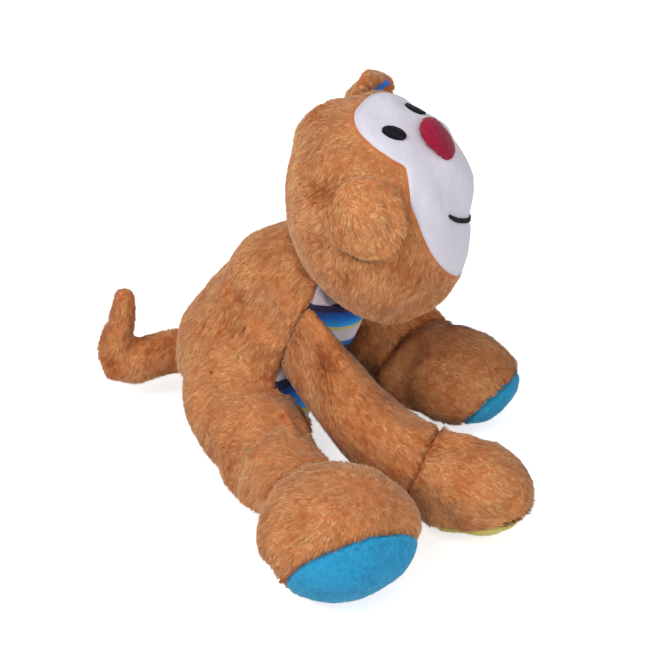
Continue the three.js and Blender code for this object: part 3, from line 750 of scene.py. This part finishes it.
def stripes():
    """Printed knit of the tummy: soft-edged bands that run round it, on a fine rib."""
    material, tree, shader = blank("striped_print_knit", 0.85)
    where = node(tree, "TexCoord")
    apart = node(tree, "SeparateXYZ", [(0, where.outputs["Object"])])
    sway = texture(tree, "TexNoise", ("Scale", 1 / (25 * MM)), ("Detail", 0))
    sloped = times_plus(tree, apart.outputs["X"], STRIPE_SLOPE, apart.outputs["Z"])
    bent = times_plus(tree, sway.outputs[0], STRIPE_SWAY * MM, sloped)
    down = times_plus(tree, bent, -1 / (STRIPE_REPEAT * MM), STRIPE_TOP / STRIPE_REPEAT)
    turn = node(tree, "Math", [(0, down)], operation="FRACT")
    ramp = node(tree, "ValToRGB", [(0, turn.outputs[0])])
    while len(ramp.color_ramp.elements) < len(STRIPES):
        ramp.color_ramp.elements.new(0.5)
    for element, (start, code) in zip(ramp.color_ramp.elements, STRIPES):
        element.position = start
        element.color = linear(code)
    tree.links.new(ramp.outputs[0], shader.inputs["Base Color"])
    rib = texture(tree, "TexWave", ("Scale", 1 / (WAVE_RATE * 0.6 * MM)), bands_direction="X")
    bumped(tree, shader, rib.outputs["Fac"], 0.05 * MM)
    return material


@cache
def plush(key):
    """A plush's backing and pile, made once."""
    root, tip = getattr(colours(), key + "_root"), getattr(colours(), key + "_tip")
    half = [(a + b) / 2 for a, b in zip(root, tip)]
    backing = cloth(key + "_plush_backing", root, half, grain=3 * MM, depth=0.3 * MM)
    return backing, plush_pile(key + "_plush_pile", root, tip)


def dress(piece, key, nap, seed, tall=None, painted_light_shift=0, keep=None):
    """Gives a piece its plush and returns its pile, in one or more pieces."""
    backing, pile = plush(key)
    plain_cloth(piece, backing)
    grown = grow_pile(piece, pile, nap, tall or sizes().pile_length, painted_light_shift, seed, keep)
    return grown


def plain_cloth(piece, material):
    """Gives a piece one material, without pile."""
    piece.data.materials.clear()
    piece.data.materials.append(material)
    return piece


# Limbs

def limb_nodes(limb):
    """The names of a limb's nodes: its cover, end, pad and stuffing."""
    kind, side = limb.split("_")
    return [f"{name}_{side}" for name in LIMB_NODES[kind]]


def sew_limb(form, limb, parts):
    """Cuts the seams from a limb's cover to its end and from there to its pad."""
    for seam, part, beyond in zip(limb_seams(limb), parts, parts[1:]):
        sew(form, seam, part, beyond)


def limb_pieces(form, limb, body, parts, naps, painted_light_shift=0):
    """Takes a limb's pad, end and cover off a form, dresses them and puts the pad and the end on their
    body.
    """
    nodes = limb_nodes(limb)
    pad_colour, seed = LIMB_PILES[limb]
    pad, end, cover = (taken_off(form, parts[i], nodes[i] + "_plush") for i in (2, 1, 0))
    for piece in (cover, *dress(cover, "brown", naps[0], seed, painted_light_shift=painted_light_shift)):
        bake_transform(piece)
    rigid = [pad, end, *dress(end, "brown", naps[1], seed + 3)]
    rigid += dress(pad, pad_colour, NAP_DOWN, seed + 6, sizes().short_length)
    for piece in rigid:
        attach(piece, body)
    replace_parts(cover, nodes[0], nodes[3])
    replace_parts(end, nodes[1])
    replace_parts(pad, nodes[2])


# Torso and legs

def outside(points, balls):
    """How far points lie outside a form drawn over a row of balls, in metres."""
    nearest = np.full(len(points), np.inf)
    for (low, low_radius), (high, high_radius) in zip(balls, balls[1:]):
        start, way = np.array(low) * MM, np.subtract(high, low) * MM
        at = np.clip((points - start) @ way / (way @ way), 0, 1)
        radius = (low_radius + (high_radius - low_radius) * at) * MM
        far = np.linalg.norm(points - start - at[:, None] * way, axis=1)
        nearest = np.minimum(nearest, far - radius)
    return nearest


def mark_legs(form):
    """Marks the faces of the trunk that are nearer to a leg's form than to the torso's."""
    centres = rows_of(form.data.polygons, "center")
    torso = outside(centres, TORSO_BALLS)
    values = np.zeros(len(centres), dtype=int)
    for limb, parts in LEG_PARTS.items():
        balls = tuple(zip(LIMBS[limb][:3], LEG_RADII))
        values[outside(centres, balls) < torso - LEG_STEP * MM] = parts[0]
    form.data.attributes["piece"].data.foreach_set("value", values)


class TOY_OT_trunk(bpy.types.Operator):
    """Stuffs the torso and legs and sews in the striped tummy, the feet and the soles"""

    bl_idname = "toy.trunk"
    bl_label = "Torso and legs"

    def execute(self, context):
        s = sizes()
        solids = [node_copy(["torso_back", "tummy_panel"], hull=True)]
        solids += [node_copy(limb_nodes(limb)) for limb in LEG_PARTS]
        form = soft_form("trunk", solids, s.voxel, smoothing=6)
        smooth_near(form, *HIPS)
        mark_legs(form)
        for limb, parts in LEG_PARTS.items():
            sew_limb(form, limb, parts)
        where, normal = TUMMY_SEAM
        sew(form, (place(where), Vector(normal)), BACK, TUMMY)
        stuff(form, s.swell, s.inset)
        pull(form, PULLS["trunk"])
        smooth_near(form, *COLLAR_FOLDS)
        finish_form(form, s.crease, PUCKERS["trunk"])
        tummy = taken_off(form, TUMMY, "tummy_panel_print", capped=False)
        plain_cloth(tummy, stripes())
        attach(tummy, "torso")
        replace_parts(tummy, "tummy_panel")
        for limb, parts in LEG_PARTS.items():
            limb_pieces(form, limb, limb + "_limb", parts, (NAP_DOWN, NAP_DOWN))
        back = taken_off(form, BACK, "torso_back_plush", capped=False)
        for piece in (back, *dress(back, "brown", NAP_DOWN, 11)):
            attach(piece, "torso")
        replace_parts(back, "torso_back", "torso_stuffing")
        return {"FINISHED"}


# Arms and tail

def draw_in_root(form, limb):
    """Flattens an arm's root and spreads it along the torso's side seam."""
    root, middle = (np.array(p) * MM for p in LIMBS[limb][:2])
    seam, run = (np.array(v, dtype=float) for v in ARM_SEAMS[limb])
    axis = (middle - root) / np.linalg.norm(middle - root)
    wide = run - axis * (run @ axis)
    wide /= np.linalg.norm(wide)
    thin = np.cross(axis, wide)
    away = corners(form) - root
    along, u, v = (away @ axis)[:, None], (away @ wide)[:, None], (away @ thin)[:, None]
    near = 1 - smooth_step(along / (ARM_ROOT_REACH * MM))
    along = np.where(along < 0, 0.15 * along, along)
    spread = (wide * (1 - near) + run * near) * u * (1 + ARM_ROOT_WIDER * near)
    rows = root + axis * along + spread + thin * v * (1 - ARM_ROOT_THINNER * near)
    set_corners(form, rows + (seam * MM - root) * near)


class TOY_OT_arms(bpy.types.Operator):
    """Stuffs the arms and sews the hands and palms to them"""

    bl_idname = "toy.arms"
    bl_label = "Arms"

    def execute(self, context):
        s = sizes()
        for limb in ("arm_right", "arm_left"):
            form = soft_form(limb, [node_copy(limb_nodes(limb))], s.voxel, smoothing=6)
            sew_limb(form, limb, ARM_PARTS)
            stuff(form, s.swell, s.inset)
            draw_in_root(form, limb)
            pull(form, PULLS[limb])
            finish_form(form, s.crease, PUCKERS[limb])
            root, middle, centre = (place(p) for p in LIMBS[limb][:3])
            ahead = (middle - root).normalized()
            limb_pieces(form, limb, limb, ARM_PARTS, (ahead, centre - middle), painted_light_shift=-0.12)
        return {"FINISHED"}


class TOY_OT_tail(bpy.types.Operator):
    """Stuffs the kinked tail"""

    bl_idname = "toy.tail"
    bl_label = "Tail"

    def execute(self, context):
        covers = node_copy(["tail_cover", "tail_stuffing"])
        form = soft_form("tail", [covers], voxel=1.6 * MM, smoothing=5)
        stuff(form, swell=2 * MM, inset=sizes().inset)
        pull(form, PULLS["tail"])
        finish_form(form, puckers=PUCKERS["tail"])
        tail = taken_off(form, 0, "tail_plush")
        for piece in (tail, *dress(tail, "brown", NAP_DOWN, 61, painted_light_shift=-0.12)):
            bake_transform(piece)
        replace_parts(tail, "tail_cover", "tail_stuffing")
        return {"FINISHED"}


# Head

def face_run(across, up):
    """How far a ray from the face's middle runs in muzzle and brow, eased where they cross."""
    runs = []
    for x, z, half_width, half_height in (MUZZLE, BROW):
        sx, sz = (FACE_MIDDLE[0] - x) / half_width, (FACE_MIDDLE[1] - z) / half_height
        dx, dz = across / half_width, up / half_height
        a, b, c = dx * dx + dz * dz, sx * dx + sz * dz, sx * sx + sz * sz - 1
        if b * b >= a * c:
            runs.append((math.sqrt(b * b - a * c) - b) / a)
    return sum(run ** FACE_EASE for run in runs) ** (1 / FACE_EASE)


def face_outline(steps):
    """The panel's edge: one line round the muzzle and the brow."""
    line = []
    for across, up in oval(0, 0, 1, 1, steps):
        far = face_run(across, up)
        line.append((FACE_MIDDLE[0] + far * across, FACE_MIDDLE[1] + far * up))
    return line


def oval(across, up, half_width, half_height, steps):
    """Points along an oval, across and up."""
    turns = [2 * math.pi * i / steps for i in range(steps)]
    return [(across + half_width * math.cos(t), up + half_height * math.sin(t)) for t in turns]


def face_point(across, up):
    """A place on the front of the head, near its skin."""
    spent = (across / HEAD_HALVES[0]) ** 2 + (up / HEAD_HALVES[2]) ** 2
    ahead = HEAD_HALVES[1] * math.sqrt(max(0, 1 - spent))
    return head_frame() @ place((across, -ahead, up))


def laid_on(patch, target, rise, thick):
    """Lays a flat patch on a form and gives it a thickness, down into the form."""
    middle = Vector(corners(target).mean(0))
    face = patch.data.polygons[0]
    if face.normal.dot(face.center - middle) < 0:
        patch.data.flip_normals()
    applied(
        patch, "SHRINKWRAP", target=target, offset=rise,
        wrap_method="NEAREST_SURFACEPOINT", wrap_mode="ABOVE_SURFACE",
    )
    applied(patch, "SOLIDIFY", thickness=thick, offset=-1)
    pick(patch)
    bpy.ops.object.shade_smooth()
    return patch


def patch_on(name, outline, middle, rings, lay, target, rise, thick):
    """A patch of cloth inside an outline, laid on a form."""
    bpy.ops.mesh.primitive_circle_add(vertices=len(outline), radius=1, fill_type="NOTHING")
    patch = bpy.context.object
    patch.name = patch.data.name = name
    for vertex, (across, up) in zip(patch.data.vertices, outline):
        vertex.co = (across, 0, up)
    bpy.ops.object.mode_set(mode="EDIT")
    bpy.ops.mesh.select_all(action="SELECT")
    for ring in range(rings, 1, -1):
        bpy.ops.mesh.extrude_edges_move()
        share = (ring - 1) / ring
        bpy.ops.transform.resize(value=(share, share, share), center_override=(middle[0], 0, middle[1]))
    bpy.ops.mesh.extrude_edges_move()
    bpy.ops.mesh.merge(type="CENTER")
    bpy.ops.mesh.select_all(action="SELECT")
    bpy.ops.mesh.normals_make_consistent(inside=False)
    bpy.ops.object.mode_set(mode="OBJECT")
    for vertex in patch.data.vertices:
        vertex.co = lay(vertex.co.x, vertex.co.z)
    patch.data.update()
    return laid_on(patch, target, rise, thick)


def smile_band(head):
    """A satin-stitched curve, raised on the face."""
    across, up, radius, middle, half_angle, half_width = SMILE
    bpy.ops.mesh.primitive_grid_add(x_subdivisions=60, y_subdivisions=4, size=2)
    band = bpy.context.object
    band.name = band.data.name = "smile_stitches"
    for vertex in band.data.vertices:
        angle = math.radians(middle + half_angle * vertex.co.x)
        taper = 1 - 0.5 * abs(vertex.co.x) ** 6
        far = radius + vertex.co.y * half_width * taper
        vertex.co = face_point(across + far * math.cos(angle), up + far * math.sin(angle))
    band.data.update()
    return laid_on(band, head, **STITCHES)


def clear_of(piece, gap, spots=()):
    """Whether points keep that far away from a piece and out of some round spots."""
    mesh = piece.data
    tree = BVHTree.FromPolygons([v.co for v in mesh.vertices], [f.vertices for f in mesh.polygons])

    def keep(points):
        kept = np.array([tree.find_nearest(p)[3] > gap for p in points])
        for where, reach in spots:
            kept &= np.linalg.norm(points - np.array(where) * MM, axis=1) > reach * MM
        return kept

    return keep


class TOY_OT_head(bpy.types.Operator):
    """Stuffs the head and lays the face, nose, eyes and smile on it"""

    bl_idname = "toy.head"
    bl_label = "Head and face"

    def execute(self, context):
        s, c = sizes(), colours()
        covers = node_copy(["head_cover", "face_panel", "head_stuffing"])
        form = soft_form("head", [covers], s.voxel, smoothing=10)
        stuff(form, s.swell, s.inset)
        pull(form, PULLS["head"])
        finish_form(form, puckers=PUCKERS["head"])
        head = taken_off(form, 0, "head_plush")
        panel = patch_on(
            "face_panel_nap", face_outline(144), FACE_MIDDLE, 20, face_point, head,
            rise=0.5 * MM, thick=2 * MM,
        )
        nap = cloth("white_face_nap", c.white_painted_shade, c.white, grain=2.5 * MM, depth=0.25 * MM)
        plain_cloth(panel, nap)
        nose = soft_form("nose", [node_copy(["nose"])], voxel=0.9 * MM, smoothing=2)
        pull(nose, PULLS["nose"])
        finish_form(nose)
        nose = taken_off(nose, 0, "nose_plush")
        clear = clear_of(panel, 0.55 * MM, EAR_RESTS)
        made = [head, *dress(head, "brown", NAP_HEAD, 21, painted_light_shift=0.04, keep=clear), panel]
        made += [nose, *dress(nose, "red", NAP_NOSE, 51, s.short_length)]
        thread = embroidery()
        for name, middle in EYES.items():
            outline = oval(*middle, *EYE_HALVES, 40)
            eye = patch_on(name + "_stitches", outline, middle, 6, face_point, head, **STITCHES)
            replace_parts(plain_cloth(eye, thread), name)
            made.append(eye)
        smile = plain_cloth(smile_band(head), thread)
        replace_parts(smile, "smile")
        for piece in (*made, smile):
            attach(piece, "head")
        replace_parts(head, "head_cover", "head_stuffing")
        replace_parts(panel, "face_panel")
        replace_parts(nose, "nose")
        return {"FINISHED"}


# Ears and squeaker

def ear_axes(flap, inner):
    """An ear's middle and its axes: across, up and out of its lining."""
    middle = flap.mean(0)
    facing = np.linalg.eigh(np.cov((flap - middle).T))[1][:, 0]
    facing *= np.sign((inner.mean(0) - middle) @ facing)
    up = np.array(head_frame().to_3x3() @ Vector((0, 0, 1)))
    up -= facing * (up @ facing)
    up /= np.linalg.norm(up)
    return middle, np.array([np.cross(up, facing), up, facing])


def shape_ear(form, middle, axes, shift, squash, thick):
    """Puffs an ear up, with a stitched line just inside its edge."""
    away = (corners(form) - middle) @ axes.T
    edge = np.hypot(away[:, 0] / EAR_HALVES[0], away[:, 1] / EAR_HALVES[1]) / MM
    line = np.exp(-((edge - EAR_LINE) / EAR_LINE_WIDTH) ** 2)
    away[:, 2] *= thick * (1 + 0.5 * np.clip(1 - edge ** 2, 0, 1)) * (1 - 0.3 * line)
    away[:, 1] *= squash
    set_corners(form, middle + np.array(shift) * MM + away @ axes)


class TOY_OT_ears(bpy.types.Operator):
    """Puffs up the ear flaps and lays the blue linings in them"""

    bl_idname = "toy.ears"
    bl_label = "Ears"

    def execute(self, context):
        c = colours()
        blue = cloth("ear_lining_knit", c.lining, c.lining_painted_light, grain=1.2 * MM, depth=0.15 * MM)
        for side, seed in (("left", 31), ("right", 34)):
            shift, squash, thick, spot, (across, up), halves = EARS[side]
            nodes = [f"ear_{side}", f"ear_{side}_lining"]
            middle, axes = ear_axes(*(corners(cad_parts[name]) for name in nodes))
            form = soft_form("ear", [node_copy(nodes)], voxel=1.1 * MM, smoothing=8)
            shape_ear(form, middle, axes, shift, squash, thick)
            pull(form, PULLS.get(nodes[0], ()))
            finish_form(form)
            ear = taken_off(form, 0, nodes[0] + "_plush")
            lining = patch_on(
                nodes[1] + "_cloth", oval(0, 0, *halves, 48), (0, 0), 8,
                lambda x, z: place(spot) + place(across) * x + place(up) * z, ear,
                rise=0.3 * MM, thick=0.8 * MM,
            )
            plain_cloth(lining, blue)
            clear = clear_of(lining, 1.5 * MM)
            for piece in (lining, ear, *dress(ear, "brown", NAP_EARS, seed, painted_light_shift=0.12, keep=clear)):
                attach(piece, f"ear_{side}_flap")
            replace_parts(ear, nodes[0])
            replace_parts(lining, nodes[1])
        return {"FINISHED"}


class TOY_OT_squeaker(bpy.types.Operator):
    """Gives the squeaker in the belly its vinyl and its plastic reed"""

    bl_idname = "toy.squeaker"
    bl_label = "Squeaker"

    def execute(self, context):
        for name, title, low, high, roughness, slot in (
            ("squeaker_bladder", "squeaker_vinyl_skin", "#d3d0c6", "#e0ded6", 0.45, "squeaker_vinyl"),
            ("squeaker_reed", "reed_polypropylene", "#ecece8", "#f4f4f1", 0.35, "reed_plastic"),
        ):
            # moulded plastic: an even pale colour with faint cloudy flow marks
            material, tree, shader = blank(title, roughness, 0.5)
            flow = texture(tree, "TexNoise", ("Scale", 1 / (6 * MM)))
            mixed(tree, shader, flow.outputs[0], linear(low), linear(high))
            plain_cloth(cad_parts[name], material)
        return {"FINISHED"}


# Stage

PICTURE_WIDTH = 650  # pixels across the picture
SENSOR_WIDTH = 36.0  # mm
CAMERA_TARGET = (24.5, -21.9, 24.9)  # mm
CAMERA_BACK = (-0.7777, -0.2230, 0.5878)
CAMERA_DISTANCE = 1.15  # m
FOCAL_PIXELS = 2971.6
WORLD_LIGHT = 0.62
# name, place, size and power, in metres and watts
LAMPS = (("key", (-0.55, 0.35, 0.85), 0.5, 7.0), ("fill", (-0.7, -0.7, 0.5), 0.6, 3.5))
LAMP_AIM = (0, -0.03, 0.06)  # m
FLOOR_SIZE, FLOOR_DROP = 6, 0.0002  # m; just under the toy


def seen_directly(tree):
    """1 for rays that show the background itself, straight on or in a shine."""
    path = node(tree, "LightPath")
    seen = path.outputs["Is Camera Ray"]
    for ray in ("Is Glossy Ray", "Is Transmission Ray"):
        most = node(tree, "Math", [(0, seen), (1, path.outputs[ray])], operation="MAXIMUM")
        seen = most.outputs[0]
    return seen


class TOY_OT_stage(bpy.types.Operator):
    """Sets the floor, lights, backdrop and camera"""

    bl_idname = "toy.stage"
    bl_label = "Stage"

    def execute(self, context):
        scene = context.scene
        scene.view_settings.view_transform = "Standard"
        bpy.ops.mesh.primitive_plane_add(size=FLOOR_SIZE, location=(0, 0, -FLOOR_DROP))
        floor = context.object
        floor.name = "floor"
        # white sweep: takes the toy's shadow and is white to the camera
        material, tree, shader = blank("white_floor", 1.0, 0.0)
        shader.inputs["Base Color"].default_value = (0.8, 0.8, 0.8, 1)
        seen = seen_directly(tree)
        level = node(tree, "Math", [(0, seen)], [(1, WORLD_LIGHT)], operation="MULTIPLY")
        glow = node(tree, "Emission", [("Strength", level.outputs[0])])
        both = node(tree, "AddShader", [(0, shader.outputs[0]), (1, glow.outputs[0])])
        tree.links.new(both.outputs[0], tree.nodes["Material Output"].inputs["Surface"])
        floor.data.materials.append(material)
        scene.world = bpy.data.worlds.new("studio")
        scene.world.use_nodes = True
        tree = scene.world.node_tree
        level = node(
            tree, "MapRange", [("Value", seen_directly(tree))],
            [("To Min", WORLD_LIGHT), ("To Max", 1.0)],
        )
        tree.nodes["Background"].inputs["Color"].default_value = (1, 1, 1, 1)
        tree.links.new(level.outputs[0], tree.nodes["Background"].inputs["Strength"])
        for name, spot, size, power in LAMPS:
            bpy.ops.object.light_add(type="AREA", location=spot)
            lamp = context.object
            lamp.name = name
            lamp.data.size = size
            lamp.data.energy = power
            aim = Vector(LAMP_AIM) - Vector(spot)
            lamp.rotation_euler = aim.to_track_quat("-Z", "Y").to_euler()
        back = Vector(CAMERA_BACK)
        bpy.ops.object.camera_add(location=place(CAMERA_TARGET) + back * CAMERA_DISTANCE)
        camera = context.object
        camera.rotation_euler = (-back).to_track_quat("-Z", "Y").to_euler()
        camera.data.sensor_fit = "HORIZONTAL"
        camera.data.sensor_width = SENSOR_WIDTH
        camera.data.lens = FOCAL_PIXELS * SENSOR_WIDTH / PICTURE_WIDTH
        scene.camera = camera
        return {"FINISHED"}


class TOY_PT_panel(bpy.types.Panel):
    """Lists the steps of the plush toy"""

    bl_label = "Plush Toy"
    bl_idname = "TOY_PT_panel"
    bl_space_type = "VIEW_3D"
    bl_region_type = "UI"
    bl_category = "Plush Toy"

    def draw(self, context):
        for step in STEPS:
            self.layout.operator(step.bl_idname)


STEPS = (TOY_OT_stage, TOY_OT_trunk, TOY_OT_arms, TOY_OT_tail, TOY_OT_head, TOY_OT_ears, TOY_OT_squeaker)
CLASSES = (ToyColours, ToySizes, *STEPS, TOY_PT_panel)


def register():
    for item in CLASSES:
        bpy.utils.register_class(item)
    bpy.types.Scene.toy_colours = bpy.props.PointerProperty(type=ToyColours)
    bpy.types.Scene.toy_sizes = bpy.props.PointerProperty(type=ToySizes)


def unregister():
    del bpy.types.Scene.toy_sizes
    del bpy.types.Scene.toy_colours
    for item in reversed(CLASSES):
        bpy.utils.unregister_class(item)


def main():
    """Registers the add-on and makes the toy."""
    register()
    bpy.ops.toy.stage()
    bpy.ops.toy.trunk()
    bpy.ops.toy.arms()
    bpy.ops.toy.tail()
    bpy.ops.toy.head()
    bpy.ops.toy.ears()
    bpy.ops.toy.squeaker()


if __name__ == "__main__":
    main()
